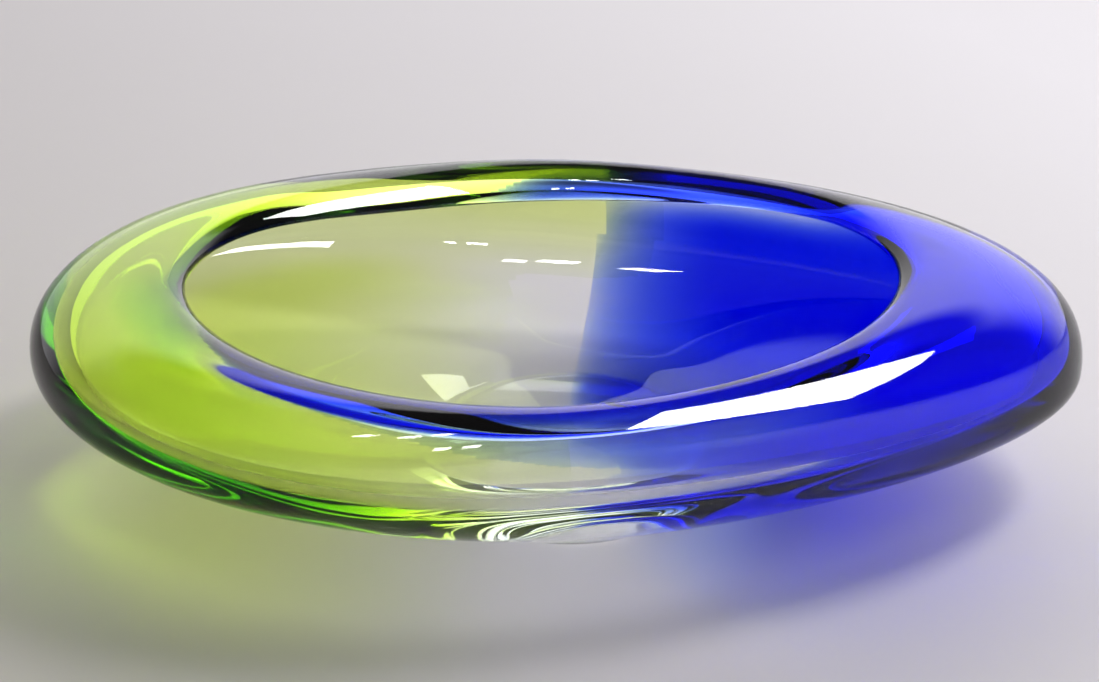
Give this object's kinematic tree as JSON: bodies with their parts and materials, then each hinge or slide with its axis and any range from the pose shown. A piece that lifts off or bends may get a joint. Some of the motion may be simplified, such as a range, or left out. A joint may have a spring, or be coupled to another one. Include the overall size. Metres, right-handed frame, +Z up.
{
  "type": "art glass bowl",
  "caption": "Low oval bowl of thick cased glass with a rolled inturned rim, green at one end and blue at the other under clear glass.",
  "frame": {"origin": "middle of the bowl's plan, on the surface it stands on", "axes": "+Z up, +X along the bowl towards the blue end, +Y towards the back"},
  "size_m": [0.28, 0.15, 0.0629],
  "materials": {
    "clear_casing": "fire polished",
    "green_glass": "transparent lime green",
    "blue_glass": "transparent cobalt blue",
    "clear_gather": "fire polished"
  },
  "bodies": {
    "root": {"clear_outer_casing": "clear_casing", "green_overlay": "green_glass", "blue_overlay": "blue_glass", "clear_inner_gather": "clear_gather"}
  },
  "joints": []
}
